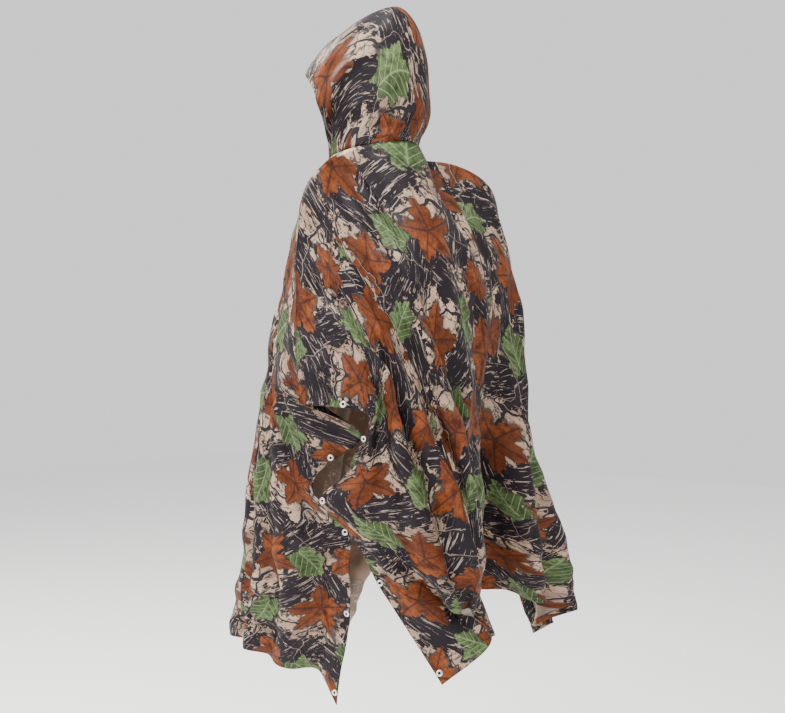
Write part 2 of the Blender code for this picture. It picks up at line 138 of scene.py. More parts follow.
RIGHT_SHOULDER = (
    (-71.5, -29.0, -12.0, -39.0),
    (-58.0, -31.0, -1.0, -32.5),
    (-46.0, -30.5, 8.5, -23.5),
    (-36.0, -29.5, 11.0, -13.5),
    (-27.0, -26.0, 10.8, -4.3),
    (-19.0, -18.6, 7.0, 0.0),
    (-11.0, -9.55, 0.0, 1.0),
)

LEFT_SHOULDER = (
    (11.0, 9.55, 0.0, 1.0),
    (19.0, 17.8, 2.6, -2.2),
    (27.0, 24.0, 3.2, -7.5),
    (36.0, 27.0, 4.2, -15.5),
    (46.0, 28.6, 5.2, -25.0),
    (58.0, 30.0, 6.4, -36.0),
    (71.5, 31.0, 8.0, -48.5),
)

HOOD_RIDGE = (
    (13.8, 17.8, 8.0),
    (12.0, 20.6, 8.8),
    (8.6, 24.2, 9.4),
    (4.2, 27.4, 9.8),
    (-1.0, 30.2, 9.8),
    (-5.6, 31.4, 9.6),
    (-8.8, 28.6, 9.4),
    (-10.6, 24.2, 9.2),
    (-11.6, 19.0, 9.1),
    (-12.2, 13.5, 9.0),
    (-11.4, 8.6, 9.0),
    (-10.0, 5.0, 9.0),
    (-9.1, 2.7, 9.0),
)



def spline_slopes(stations, values):
    gaps = np.diff(stations)
    steps = np.diff(values, axis=0) / gaps[:, None]
    slopes = np.zeros_like(values)
    slopes[0] = steps[0]
    slopes[-1] = steps[-1]
    before = gaps[:-1][:, None]
    after = gaps[1:][:, None]
    slopes[1:-1] = (steps[:-1] * after + steps[1:] * before) / (before + after)
    return slopes


def smooth_through(stations, values, wanted):
    """A smooth line through uneven stations, read at the wanted places."""
    stations = np.asarray(stations, float)
    values = np.asarray(values, float)
    slopes = spline_slopes(stations, values)
    wanted = np.clip(np.asarray(wanted, float), stations[0], stations[-1])
    cell = np.clip(np.searchsorted(stations, wanted, side="right") - 1, 0, len(stations) - 2)
    width = stations[cell + 1] - stations[cell]
    part = ((wanted - stations[cell]) / width)[:, None]
    width = width[:, None]
    start = (1 + 2 * part) * (1 - part) ** 2
    leave = part * (1 - part) ** 2
    end = part ** 2 * (3 - 2 * part)
    arrive = part ** 2 * (part - 1)
    return (start * values[cell] + leave * width * slopes[cell]
            + end * values[cell + 1] + arrive * width * slopes[cell + 1])


def neck_height(x, y):
    return NECK_LEVEL + NECK_FORWARD_DROP * y / NECK_RADIUS


def shoulder_line(across, behind):
    """Top edge of a panel: the round of the neck, then the shoulder and the arm."""
    line = np.zeros((len(across), 3))
    for table in (RIGHT_SHOULDER, LEFT_SHOULDER):
        stations = [row[0] for row in table]
        inside = (across / CM >= stations[0]) & (across / CM <= stations[-1])
        line[inside] = smooth_through(stations, [row[1:] for row in table], across[inside] / CM)
    round_neck = np.abs(across) < NECK_REACH
    turned = across[round_neck] / NECK_REACH * math.pi / 2
    x = NECK_RADIUS * np.sin(turned)
    y = NECK_RADIUS * np.cos(turned) * behind
    line[round_neck] = np.stack((x, y, neck_height(x, y)), axis=1) / CM
    return line


def side_droop(across, down):
    along = np.exp(-((down - DROOP_DOWN) / DROOP_LENGTH) ** 2)
    near_edge = np.exp(-((PANEL_HALF_WIDTH - across) / DROOP_REACH) ** 2)
    return along[:, None, None] * near_edge[None, :, None]


def fall_surface(table, across, down, behind):
    """Points of a hanging panel without its small creases, in metres."""
    stations = [row[0] for row in table]
    levels = [shoulder_line(across, behind)]
    for level in range(1, len(FALL_LEVELS)):
        levels.append(smooth_through(stations, [row[level] for row in table], across / CM))
    by_level = np.stack(levels)
    columns = []
    for column in range(len(across)):
        columns.append(smooth_through(FALL_LEVELS, by_level[:, column, :], down / CM))
    surface = np.stack(columns, axis=1) * CM
    shift = DROOP_SHIFT if behind > 0 else FRONT_DROOP_SHIFT
    surface = surface + side_droop(across, down) * np.array(shift)
    return surface


def outward_of(points, outward):
    along = np.gradient(points, axis=0)
    across = np.gradient(points, axis=1)
    normals = np.cross(along, across) * outward
    lengths = np.linalg.norm(normals, axis=2, keepdims=True)
    return normals / np.maximum(lengths, 1e-12)


# --- creases, laid one by one ---
# Each row: from across, from down, to across, to down (all in the flat cut, centimetres),
# then how wide and how high the fold is, in millimetres. A minus height is a trough.
BACK_CREASES = (
    (12, 3, 22, 40, 16, 5.5),
    (20, 3, 30, 34, 14, -4.5),
    (27, 4, 40, 30, 15, 5.0),
    (34, 3, 50, 24, 12, -3.5),
    (8, 8, 12, 60, 22, -5.0),
    (3, 6, 3, 70, 24, 4.5),
    (-4, 5, -8, 60, 20, -4.0),
    (-12, 4, -20, 52, 18, 5.0),
    (-20, 5, -30, 48, 16, -4.5),
    (-28, 6, -40, 50, 18, 4.5),
    (-38, 8, -50, 60, 18, -4.0),
    (52, 10, 48, 70, 20, 5.0),
    (60, 14, 60, 60, 18, -4.5),
    (42, 24, 36, 100, 26, 5.5),
    (30, 40, 26, 105, 24, -5.5),
    (54, 60, 62, 106, 22, 6.0),
    (64, 70, 52, 104, 18, -4.5),
    (-50, 30, -56, 105, 24, 5.0),
    (-62, 30, -64, 106, 22, -5.0),
    (-36, 60, -34, 106, 22, 5.0),
    (-24, 50, -22, 106, 20, -4.5),
    (8, 70, 14, 106, 20, 5.0),
    (66, 4, 44, 22, 12, 3.5),
    (70, 12, 56, 34, 12, -3.5),
    (16, 2, 12, 16, 9, 3.0),
    (22, 2, 19, 18, 9, -3.0),
    (28, 1, 26, 16, 9, 2.8),
    (-16, 2, -13, 16, 9, 3.0),
    (-24, 2, -21, 18, 9, -3.0),
)

FRONT_CREASES = (
    (12, 3, 20, 44, 16, 5.0),
    (22, 3, 34, 40, 15, -4.5),
    (32, 4, 48, 44, 15, 5.0),
    (0, 10, 2, 80, 24, 5.0),
    (10, 12, 12, 80, 20, -4.5),
    (-10, 10, -12, 80, 20, 4.5),
    (-18, 6, -26, 60, 18, -4.5),
    (-28, 6, -40, 60, 18, 5.0),
    (-46, 20, -54, 90, 20, -5.0),
    (28, 50, 32, 104, 24, 6.0),
    (40, 46, 44, 106, 22, -5.5),
    (52, 50, 56, 106, 22, 5.5),
    (62, 60, 64, 106, 18, -4.5),
    (18, 60, 20, 106, 22, -5.0),
    (66, 20, 50, 40, 12, 3.5),
    (60, 10, 44, 26, 12, -3.5),
    (-60, 60, -62, 104, 20, 4.5),
    (16, 2, 13, 16, 9, 3.0),
    (24, 2, 21, 18, 9, -3.0),
)

# On the hood the places are the arch, 0 at the face edge to 12 at the neck seam, and the
# step, 0 at the neck foot to 10 at the ridge; width is in the same steps, height in mm.
HOOD_CREASES = (
    (0.2, 1.0, 5.5, 4.6, 0.50, 7.5),
    (0.4, 0.1, 4.2, 2.2, 0.42, -5.5),
    (1.8, 0.1, 8.2, 2.9, 0.46, 7.0),
    (3.6, 0.0, 9.4, 2.0, 0.40, -5.0),
    (5.0, 0.2, 11.0, 3.4, 0.44, 5.5),
    (7.5, 0.4, 11.4, 5.0, 0.42, -4.5),
    (1.0, 4.4, 4.6, 9.0, 0.60, 4.0),
    (3.0, 5.0, 7.2, 8.8, 0.60, -3.6),
    (8.4, 4.0, 9.6, 9.4, 0.60, 4.0),
    (10.2, 5.0, 10.6, 9.6, 0.42, -3.4),
    (0.4, 6.6, 1.4, 9.6, 0.40, -3.2),
)


# Deep hanging folds, in the flat cut: across in centimetres, half width in centimetres, then
# how far the cloth stands out, in millimetres, at 25, 50, 78 and 109 centimetres down.
BACK_FOLDS = (
    (-66, 6.0, 6, 18, 26, 29),
    (-58, 6.0, -8, -23, -34, -38),
    (-50, 6.0, 9, 25, 37, 41),
    (-42, 6.0, -9, -24, -35, -38),
    (-34, 6.0, 5, 14, 21, 25),
    (-26, 5.5, -4, -11, -17, -18),
    (9, 5.0, 4, 9, 10, 6),
    (16, 5.5, -5, -13, -16, -14),
    (23, 5.0, 6, 15, 20, 19),
    (30, 5.5, -8, -19, -23, -20),
    (37, 5.0, 8, 19, 24, 22),
    (44, 5.5, -9, -20, -24, -20),
    (51, 5.0, 9, 19, 21, 15),
    (58, 5.5, -6, -13, -15, -12),
    (65, 5.0, 5, 9, 10, 7),
)
FRONT_FOLDS = (
    (-66, 6.0, 6, 14, 20, 22),
    (-58, 5.5, -5, -12, -18, -20),
    (24, 5.0, 3, 7, 10, 12),
    (33, 5.0, -4, -9, -13, -15),
    (41, 5.0, 5, 11, 15, 17),
    (49, 5.0, -5, -11, -15, -16),
    (56, 5.0, 4, 9, 12, 12),
    (63, 5.0, -3, -6, -8, -8),
)


def fold_depth(rows, across, down):
    """How far the deep folds stand out at a grid of flat places."""
    depth = np.zeros((len(down), len(across)))
    for centre, half_width, *depths in rows:
        off = np.clip(np.abs(across / CM - centre) / half_width, 0, 1)
        shape = np.cos(off * math.pi / 2) ** 2
        levels = smooth_through(FALL_LEVELS, [(0,)] + [(value,) for value in depths], down / CM)
        depth += levels * shape[None, :]
    return depth * 0.001


def fold_shape(aside, shoulder_dip):
    """Section across a crease: a rounded top with a shallow dip to each side."""
    top = 1 / (1 + np.abs(aside) ** 2.6)
    return top - shoulder_dip * np.exp(-((np.abs(aside) - 1.9) ** 2))


def crease_height(rows, across, down):
    """Height of all creases at a grid of flat places, soft at both ends and uneven on the way."""
    flat_across, flat_down = np.meshgrid(across / CM, down / CM)
    height = np.zeros_like(flat_across)
    for count, row in enumerate(rows):
        from_across, from_down, to_across, to_down, width, rise = row
        run_across = to_across - from_across
        run_down = to_down - from_down
        length = math.hypot(run_across, run_down)
        run_across /= length
        run_down /= length
        along = (flat_across - from_across) * run_across + (flat_down - from_down) * run_down
        aside = (flat_down - from_down) * run_across - (flat_across - from_across) * run_down
        sway = 0.22 * width / 10 * np.sin(along * 0.21 + count * 1.7) + 0.012 * along * np.sin(count * 2.3)
        share = np.clip(along / length, 0, 1)
        ends = np.sin(share * math.pi) ** 0.7
        uneven = 1 + 0.25 * np.sin(along * 0.37 + count * 2.9)
        aside = (aside + sway) * 10 / width
        height += rise * PANEL_CREASE_GAIN * ends * uneven * fold_shape(aside, 0.28)
    return height * 0.001


def crumple(across, down, seed, size, rise):
    """A faint unevenness all over, from a few crossing waves."""
    chooser = np.random.default_rng(seed)
    flat_across, flat_down = np.meshgrid(across, down)
    height = np.zeros_like(flat_across)
    for wave in range(14):
        heading = chooser.uniform(0, math.tau)
        pitch = size * chooser.uniform(0.6, 1.9)
        phase = chooser.uniform(0, math.tau)
        bend = chooser.uniform(0.3, 1.0)
        other = chooser.uniform(0, math.tau)
        line = flat_across * math.cos(heading) + flat_down * math.sin(heading)
        cross = flat_down * math.cos(heading) - flat_across * math.sin(heading)
        wave_height = np.sin(line / pitch * math.tau + phase + bend * np.sin(cross / pitch * 2.1 + other))
        height += np.sign(wave_height) * np.abs(wave_height) ** 1.3 * (pitch / size)
    return height * rise / 14 * 2


# --- materials ---
class Wiring:
    """Short ways to add and join shader nodes in one tree."""

    def __init__(self, tree):
        self.tree = tree

    def add(self, kind, **settings):
        node = self.tree.nodes.new(kind)
        for name, value in settings.items():
            setattr(node, name, value)
        return node

    def put(self, socket, value):
        if isinstance(value, bpy.types.NodeSocket):
            self.tree.links.new(value, socket)
        elif value is not None:
            socket.default_value = value

    def maths(self, operation, first, second=None, third=None, clamp=False):
        node = self.add("ShaderNodeMath", operation=operation, use_clamp=clamp)
        self.put(node.inputs[0], first)
        self.put(node.inputs[1], second)
        self.put(node.inputs[2], third)
        return node.outputs[0]

    def vector(self, operation, first, second=None, third=None):
        node = self.add("ShaderNodeVectorMath", operation=operation)
        self.put(node.inputs[0], first)
        self.put(node.inputs[1], second)
        self.put(node.inputs[2], third)
        return node.outputs[0]

    def ramp(self, value, low, high, low_out=0.0, high_out=1.0):
        node = self.add("ShaderNodeMapRange", clamp=True)
        for socket, number in zip(node.inputs, (value, low, high, low_out, high_out)):
            self.put(socket, number)
        return node.outputs[0]

    def mix(self, share, first, second):
        node = self.add("ShaderNodeMix", data_type="RGBA")
        self.put(node.inputs[0], share)
        self.put(node.inputs[6], first)
        self.put(node.inputs[7], second)
        return node.outputs[2]

    def noise(self, place, scale, detail=2.0, roughness=0.5, distortion=0.0):
        node = self.add("ShaderNodeTexNoise")
        self.put(node.inputs["Vector"], place)
        node.inputs["Scale"].default_value = scale
        node.inputs["Detail"].default_value = detail
        node.inputs["Roughness"].default_value = roughness
        node.inputs["Distortion"].default_value = distortion
        return node.outputs[0]

    def split(self, place):
        node = self.add("ShaderNodeSeparateXYZ")
        self.put(node.inputs[0], place)
        return node.outputs[0], node.outputs[1]

    def join(self, x, y):
        node = self.add("ShaderNodeCombineXYZ")
        self.put(node.inputs[0], x)
        self.put(node.inputs[1], y)
        return node.outputs[0]

    def turned(self, place, angle):
        node = self.add("ShaderNodeVectorRotate", rotation_type="Z_AXIS")
        self.put(node.inputs["Vector"], place)
        self.put(node.inputs["Angle"], angle)
        return node.outputs[0]


REPEAT_ACROSS = 0.46
REPEAT_DOWN = 0.36


def new_group(name, inputs, outputs):
    group = bpy.data.node_groups.new(name, "ShaderNodeTree")
    for label, kind in inputs:
        group.interface.new_socket(label, in_out="INPUT", socket_type=kind)
    for label in outputs:
        group.interface.new_socket(label, in_out="OUTPUT", socket_type="NodeSocketFloat")
    wiring = Wiring(group)
    source = wiring.add("NodeGroupInput")
    result = wiring.add("NodeGroupOutput")
    return group, wiring, source.outputs, result.inputs


def beside_centre(wiring, place, centre, turn):
    """Place measured from a motif's centre inside the repeat, turned to the motif."""
    offset = wiring.vector("SUBTRACT", place, centre)
    half = (REPEAT_ACROSS / 2, REPEAT_DOWN / 2, 1.0)
    wrapped = wiring.vector("WRAP", offset, half, tuple(-h for h in half))
    return wiring.split(wiring.turned(wrapped, turn))


def leaf_group(name, pinnate):
    group, w, take, give = new_group(
        name,
        (("Place", "NodeSocketVector"), ("Jag", "NodeSocketFloat"), ("Centre", "NodeSocketVector"),
         ("Turn", "NodeSocketFloat"), ("Size", "NodeSocketFloat"), ("Lobes", "NodeSocketFloat"),
         ("Depth", "NodeSocketFloat"), ("Slimness", "NodeSocketFloat")),
        ("Cover", "Shadow", "Vein", "Side"),
    )
    x, y = beside_centre(w, take["Place"], take["Centre"], take["Turn"])
    x = w.maths("DIVIDE", x, w.maths("MULTIPLY", take["Size"], take["Slimness"]))
    y = w.maths("DIVIDE", y, take["Size"])
    bent = w.maths("ADD", x, w.maths("MULTIPLY", w.maths("MULTIPLY", y, y), 0.12))
    reach = w.maths("SQRT", w.maths("ADD", w.maths("MULTIPLY", bent, bent), w.maths("MULTIPLY", y, y)))
    angle = w.maths("ARCTAN2", bent, y)
    waves = w.maths("COSINE", w.maths("MULTIPLY", angle, take["Lobes"]))
    teeth = w.maths("COSINE", w.maths("MULTIPLY", angle, w.maths("MULTIPLY", take["Lobes"], 3.0)))
    rim = w.maths("ADD", 0.80, w.maths("MULTIPLY", waves, take["Depth"]))
    rim = w.maths("ADD", rim, w.maths("MULTIPLY", teeth, w.maths("MULTIPLY", take["Depth"], 0.32)))
    rim = w.maths("ADD", rim, w.maths("MULTIPLY", w.maths("SUBTRACT", take["Jag"], 0.5), 0.85))
    inside = w.maths("SUBTRACT", rim, reach)
    w.put(give["Cover"], w.ramp(inside, -0.015, 0.02))
    w.put(give["Shadow"], w.ramp(w.maths("ADD", inside, w.maths("MULTIPLY", bent, 0.10)), -0.17, -0.07))
    if pinnate:
        rib = w.maths("ABSOLUTE", bent)
        slant = w.maths("SUBTRACT", y, w.maths("MULTIPLY", rib, 0.75))
        beat = w.maths("FRACT", w.maths("MULTIPLY", slant, 3.4))
        side_vein = w.maths("ABSOLUTE", w.maths("SUBTRACT", beat, 0.5))
        vein = w.maths("MINIMUM", w.maths("MULTIPLY", side_vein, 0.55), rib)
    else:
        half_turns = w.maths("MULTIPLY", angle, w.maths("MULTIPLY", take["Lobes"], 0.5))
        spoke = w.maths("ABSOLUTE", w.maths("SINE", half_turns))
        vein = w.maths("MULTIPLY", spoke, w.maths("MULTIPLY", reach, 0.42))
    w.put(give["Vein"], w.ramp(vein, 0.05, 0.012))
    w.put(give["Side"], w.ramp(bent, -0.25, 0.35))
    return group


def twig_group():
    group, w, take, give = new_group(
        "twig",
        (("Place", "NodeSocketVector"), ("Sway", "NodeSocketFloat"), ("Centre", "NodeSocketVector"),
         ("Turn", "NodeSocketFloat"), ("Length", "NodeSocketFloat"), ("Width", "NodeSocketFloat")),
        ("Cover", "Edge"),
    )
    x, y = beside_centre(w, take["Place"], take["Centre"], take["Turn"])
    y = w.maths("ADD", y, w.maths("MULTIPLY", w.maths("SUBTRACT", take["Sway"], 0.5), 0.075))
    share = w.maths("ADD", w.maths("DIVIDE", x, take["Length"]), 0.5)
    taper = w.maths("MULTIPLY", take["Width"], w.ramp(share, 0.0, 1.0, 1.0, 0.30))
    off = w.maths("ABSOLUTE", y)
    reach = w.maths("SUBTRACT", taper, off)
    ends = w.maths("LESS_THAN", w.maths("ABSOLUTE", x), w.maths("MULTIPLY", take["Length"], 0.5))
    w.put(give["Cover"], w.maths("MULTIPLY", w.ramp(reach, -0.0002, 0.0006), ends))
    lit = w.ramp(w.maths("ABSOLUTE", w.maths("ADD", reach, 0.0006)), 0.0011, 0.0003)
    w.put(give["Edge"], w.maths("MULTIPLY", w.maths("MULTIPLY", lit, ends), w.ramp(y, 0.0, 0.0008)))
    return group


def bark_group():
    group, w, take, give = new_group(
        "bark",
        (("Place", "NodeSocketVector"), ("Flat", "NodeSocketVector"), ("Jag", "NodeSocketFloat"),
         ("Centre", "NodeSocketVector"), ("Turn", "NodeSocketFloat"), ("Length", "NodeSocketFloat"),
         ("Width", "NodeSocketFloat")),
        ("Cover", "Streak"),
    )
    x, y = beside_centre(w, take["Place"], take["Centre"], take["Turn"])
    x = w.maths("DIVIDE", x, take["Length"])
    y = w.maths("DIVIDE", y, take["Width"])
    reach = w.maths("SQRT", w.maths("ADD", w.maths("MULTIPLY", x, x), w.maths("MULTIPLY", y, y)))
    rim = w.maths("ADD", 0.98, w.maths("MULTIPLY", w.maths("SUBTRACT", take["Jag"], 0.5), 3.0))
    w.put(give["Cover"], w.ramp(w.maths("SUBTRACT", rim, reach), -0.02, 0.03))
    along = w.turned(take["Flat"], take["Turn"])
    grain = w.vector("MULTIPLY", along, (15.0, 170.0, 1.0))
    streak = w.noise(grain, 1.0, 3.0, 0.66, 1.3)
    w.put(give["Streak"], streak)
    return group


# Motifs in one repeat of the print, places in centimetres.
# kind, across, down, turn in degrees, size, lobes, depth, slimness
LEAF_MOTIFS = (
    ("orange", 6.0, 5.0, 20, 7.2, 5, 0.20, 1.00),
    ("orange", 33.5, 10.5, -35, 7.0, 5, 0.22, 1.00),
    ("orange", 21.0, 29.0, 70, 6.8, 5, 0.20, 0.95),
    ("orange", 42.0, 31.0, 160, 5.8, 5, 0.22, 0.90),
    ("orange", 7.5, 20.0, -80, 5.4, 7, 0.16, 0.80),
    ("green", 17.0, 11.0, -20, 6.6, 7, 0.09, 0.84),
    ("green", 31.0, 31.5, 35, 5.6, 5, 0.14, 0.76),
    ("green", 43.5, 18.5, -65, 5.0, 7, 0.12, 0.70),
)

# across, down, turn in degrees, half length, half width
BARK_MOTIFS = (
    (25.0, 4.5, 24, 13.0, 5.0),
    (4.0, 12.5, -38, 11.0, 5.2),
    (22.0, 19.0, -52, 12.5, 5.0),
    (38.0, 23.5, 18, 12.0, 4.8),
    (10.0, 30.0, 62, 11.5, 5.4),
    (36.0, 2.5, -65, 9.5, 4.4),
    (44.0, 11.5, 78, 10.0, 3.8),
    (28.0, 25.5, 40, 9.0, 4.0),
)

# across, down, turn in degrees, length, half width
TWIG_MOTIFS = (
    (12.0, 8.0, 72, 26, 0.80),
    (17.0, 18.0, 48, 20, 0.45),
    (27.0, 13.5, -24, 24, 0.62),
    (30.0, 22.5, 66, 24, 0.70),
    (37.0, 17.5, 12, 18, 0.40),
    (8.0, 26.5, -14, 22, 0.55),
    (22.0, 34.0, 8, 24, 0.62),
    (40.0, 6.0, 50, 22, 0.50),
    (3.0, 20.0, 80, 17, 0.26),
    (14.0, 2.0, -42, 16, 0.26),
    (44.0, 27.0, 88, 20, 0.34),
    (32.0, 28.5, -56, 15, 0.22),
)

GROUND = (0.64, 0.46, 0.33, 1.0)
GROUND_SHADE = (0.33, 0.22, 0.155, 1.0)
BARK_DARK = (0.018, 0.013, 0.018, 1.0)
BARK_PALE = (0.52, 0.41, 0.34, 1.0)
TWIG_DARK = (0.030, 0.023, 0.028, 1.0)
ORANGE_DEEP = (0.085, 0.020, 0.007, 1.0)
ORANGE_BRIGHT = (0.34, 0.090, 0.024, 1.0)
GREEN_DEEP = (0.030, 0.052, 0.018, 1.0)
GREEN_BRIGHT = (0.190, 0.270, 0.105, 1.0)
GREEN_VEIN = (0.33, 0.42, 0.22, 1.0)


def printed_colour(w):
    """The leaf and bark print as one colour, laid out in metres of flat cloth."""
    place_map = w.add("ShaderNodeUVMap", uv_map="flat_cut")
    flat = place_map.outputs[0]
    u, v = w.split(flat)
    stagger = w.maths("MULTIPLY", w.maths("FLOOR", w.maths("DIVIDE", u, REPEAT_ACROSS)), REPEAT_DOWN * 0.5)
    place = w.join(u, w.maths("ADD", v, stagger))
    rough = w.noise(flat, 46.0, 4.0, 0.62)
    broad = w.noise(flat, 13.0, 2.0, 0.5)
    fine = w.noise(flat, 210.0, 3.0, 0.6)
    warp = w.vector("SCALE", w.vector("SUBTRACT", w.join(rough, broad), (0.5, 0.5, 0.0)), None)
    warp.node.inputs["Scale"].default_value = 0.022
    warped = w.vector("ADD", place, warp)

    # pale ground with soft shade and dark specks
    colour = w.mix(w.ramp(broad, 0.42, 0.66), GROUND, GROUND_SHADE)
    colour = w.mix(w.maths("MULTIPLY", w.ramp(fine, 0.60, 0.66), 0.8), colour, TWIG_DARK)
    for scale, stretch in ((1.0, (19.0, 9.0, 1.0)), (1.0, (8.0, 23.0, 1.0))):
        wander = w.noise(w.vector("MULTIPLY", flat, stretch), scale, 3.5, 0.55, 0.5)
        hair = w.ramp(w.maths("ABSOLUTE", w.maths("SUBTRACT", wander, 0.5)), 0.015, 0.007)
        colour = w.mix(w.maths("MULTIPLY", hair, 0.85), colour, TWIG_DARK)

    bark = bark_group()
    for across, down, turn, half_length, half_width in BARK_MOTIFS:
        node = w.add("ShaderNodeGroup", node_tree=bark)
        w.put(node.inputs["Place"], warped)
        w.put(node.inputs["Flat"], flat)
        w.put(node.inputs["Jag"], rough)
        node.inputs["Centre"].default_value = (across * CM, down * CM, 0.0)
        node.inputs["Turn"].default_value = math.radians(turn)
        node.inputs["Length"].default_value = half_length * CM
        node.inputs["Width"].default_value = half_width * CM
        streak = w.ramp(node.outputs["Streak"], 0.585, 0.625)
        wood = w.mix(streak, BARK_DARK, BARK_PALE)
        colour = w.mix(node.outputs["Cover"], colour, wood)

    twig = twig_group()
    for across, down, turn, length, half_width in TWIG_MOTIFS[:8]:
        colour = add_twig(w, twig, warped, broad, colour, across, down, turn, length, half_width)

    groups = {"orange": leaf_group("lobed leaf", False), "green": leaf_group("broad leaf", True)}
    tints = {"orange": (ORANGE_DEEP, ORANGE_BRIGHT), "green": (GREEN_DEEP, GREEN_BRIGHT)}
    for kind, across, down, turn, size, lobes, depth, slimness in LEAF_MOTIFS:
        node = w.add("ShaderNodeGroup", node_tree=groups[kind])
        w.put(node.inputs["Place"], place)
        w.put(node.inputs["Jag"], rough)
        node.inputs["Centre"].default_value = (across * CM, down * CM, 0.0)
        node.inputs["Turn"].default_value = math.radians(turn)
        node.inputs["Size"].default_value = size * CM
        node.inputs["Lobes"].default_value = float(lobes)
        node.inputs["Depth"].default_value = depth
        node.inputs["Slimness"].default_value = slimness
        deep, bright = tints[kind]
        lit_side = w.maths("ADD", 0.45, w.maths("MULTIPLY", node.outputs["Side"], 0.55))
        glow = w.maths("MULTIPLY", w.ramp(rough, 0.36, 0.60), lit_side)
        tint = w.mix(glow, deep, bright)
        vein_colour = BARK_DARK if kind == "orange" else GREEN_VEIN
        tint = w.mix(w.maths("MULTIPLY", node.outputs["Vein"], 0.7), tint, vein_colour)
        colour = w.mix(w.maths("MULTIPLY", node.outputs["Shadow"], 0.85), colour, BARK_DARK)
        blotch = w.maths("MULTIPLY", w.ramp(fine, 0.50, 0.62), 0.55)
        tint = w.mix(blotch, tint, deep)
        colour = w.mix(node.outputs["Cover"], colour, tint)

    for across, down, turn, length, half_width in TWIG_MOTIFS[8:]:
        colour = add_twig(w, twig, warped, broad, colour, across, down, turn, length, half_width)
    return colour


def add_twig(w, group, place, sway, colour, across, down, turn, length, half_width):
    node = w.add("ShaderNodeGroup", node_tree=group)
    w.put(node.inputs["Place"], place)
    w.put(node.inputs["Sway"], sway)
    node.inputs["Centre"].default_value = (across * CM, down * CM, 0.0)
    node.inputs["Turn"].default_value = math.radians(turn)
    node.inputs["Length"].default_value = length * CM
    node.inputs["Width"].default_value = half_width * CM
    colour = w.mix(node.outputs["Cover"], colour, TWIG_DARK)
    return w.mix(w.maths("MULTIPLY", node.outputs["Edge"], 0.7), colour, BARK_PALE)


def cloth_material(name, inside):
    """Thin coated cloth: the print outside, the same print paler and duller inside. The inside's paleness is
    partly the wrong side's own colour and partly painted light, lifted to stand in for light on inner faces
    that lie in shade.
    """
    material = bpy.data.materials.new(name)
    material.use_nodes = True
    tree = material.node_tree
    tree.nodes.clear()
    w = Wiring(tree)
    colour = printed_colour(w)
    if inside:
        # paler inside: partly the wrong side's own colour, partly painted light that brightens inner faces
        # lying in shade
        colour = w.mix(0.50, colour, (0.60, 0.47, 0.37, 1.0))
    shader = w.add("ShaderNodeBsdfPrincipled")
    w.put(shader.inputs["Base Color"], colour)
    shader.inputs["Roughness"].default_value = 0.62 if inside else 0.52
    shader.inputs["Specular IOR Level"].default_value = 0.22
    through = w.add("ShaderNodeBsdfTranslucent")
    w.put(through.inputs["Color"], colour)
    blend = w.add("ShaderNodeMixShader")
    blend.inputs[0].default_value = 0.36
    tree.links.new(shader.outputs[0], blend.inputs[1])
    tree.links.new(through.outputs[0], blend.inputs[2])
    output = w.add("ShaderNodeOutputMaterial")
    tree.links.new(blend.outputs[0], output.inputs["Surface"])
    return material


def plain_material(name, colour, roughness, metallic=0.0):
    material = bpy.data.materials.new(name)
    material.use_nodes = True
    shader = material.node_tree.nodes["Principled BSDF"]
    shader.inputs["Base Color"].default_value = (*colour, 1.0)
    shader.inputs["Roughness"].default_value = roughness
    shader.inputs["Metallic"].default_value = metallic
    return material


CLOTH_OUTSIDE = cloth_material("printed cloth outside", False)
CLOTH_INSIDE = cloth_material("printed cloth inside", True)
THREAD = plain_material("dark stitching thread", (0.035, 0.028, 0.026), 0.7)
METAL = plain_material("bright eyelet metal", (0.78, 0.76, 0.70), 0.28, 1.0)
# near-black material for the cap across each eyelet hole: painted shade of the recess
HOLE_PAINTED_SHADE = plain_material("eyelet recess painted shade", (0.012, 0.010, 0.010), 0.9)


# --- cloth pieces ---
def cloth_piece(name, outer, inner, flat_places, flip, materials):
    """A thin closed shell between two grids of points, with the flat cut as its UV map."""
    rows, columns = outer.shape[:2]
    count = rows * columns
    vertices = np.concatenate((outer.reshape(-1, 3), inner.reshape(-1, 3)))
    index = np.arange(count).reshape(rows, columns)
    a, b = index[:-1, :-1], index[1:, :-1]
    c, d = index[1:, 1:], index[:-1, 1:]
    top = np.stack((a, b, c, d), axis=-1).reshape(-1, 4)
    low = np.stack((d, c, b, a), axis=-1).reshape(-1, 4) + count
    edge = np.concatenate((index[0], index[1:, -1], index[-1, -2::-1], index[-2:0:-1, 0]))
    after = np.roll(edge, -1)
    rim = np.stack((edge, after, after + count, edge + count), axis=-1)
    faces = np.concatenate((top, low, rim))
    if flip:
        faces = faces[:, ::-1]
    mesh = bpy.data.meshes.new(name)
    mesh.from_pydata(vertices.tolist(), [], faces.tolist())
    layer = mesh.uv_layers.new(name="flat_cut")
    places = np.tile(flat_places.reshape(-1, 2), (2, 1))
    corner_vertices = np.zeros(len(mesh.loops), dtype=np.int32)
    mesh.loops.foreach_get("vertex_index", corner_vertices)
    layer.data.foreach_set("uv", places[corner_vertices].astype(np.float32).ravel())
    slots = np.zeros(len(faces), dtype=np.int32)
    slots[len(top):len(top) + len(low)] = 1
    mesh.polygons.foreach_set("material_index", slots)
    mesh.polygons.foreach_set("use_smooth", np.ones(len(faces), dtype=bool))
    for material in materials:
        mesh.materials.append(material)
    mesh.update()
    piece = bpy.data.objects.new(name, mesh)
    bpy.context.scene.collection.objects.link(piece)
    return piece


def seam_settle(normals, other, joined):
    both = normals[0] + other[0]
    both /= np.linalg.norm(both, axis=-1, keepdims=True)
    normals[0][joined] = both[joined]
    other[0][joined] = both[joined]


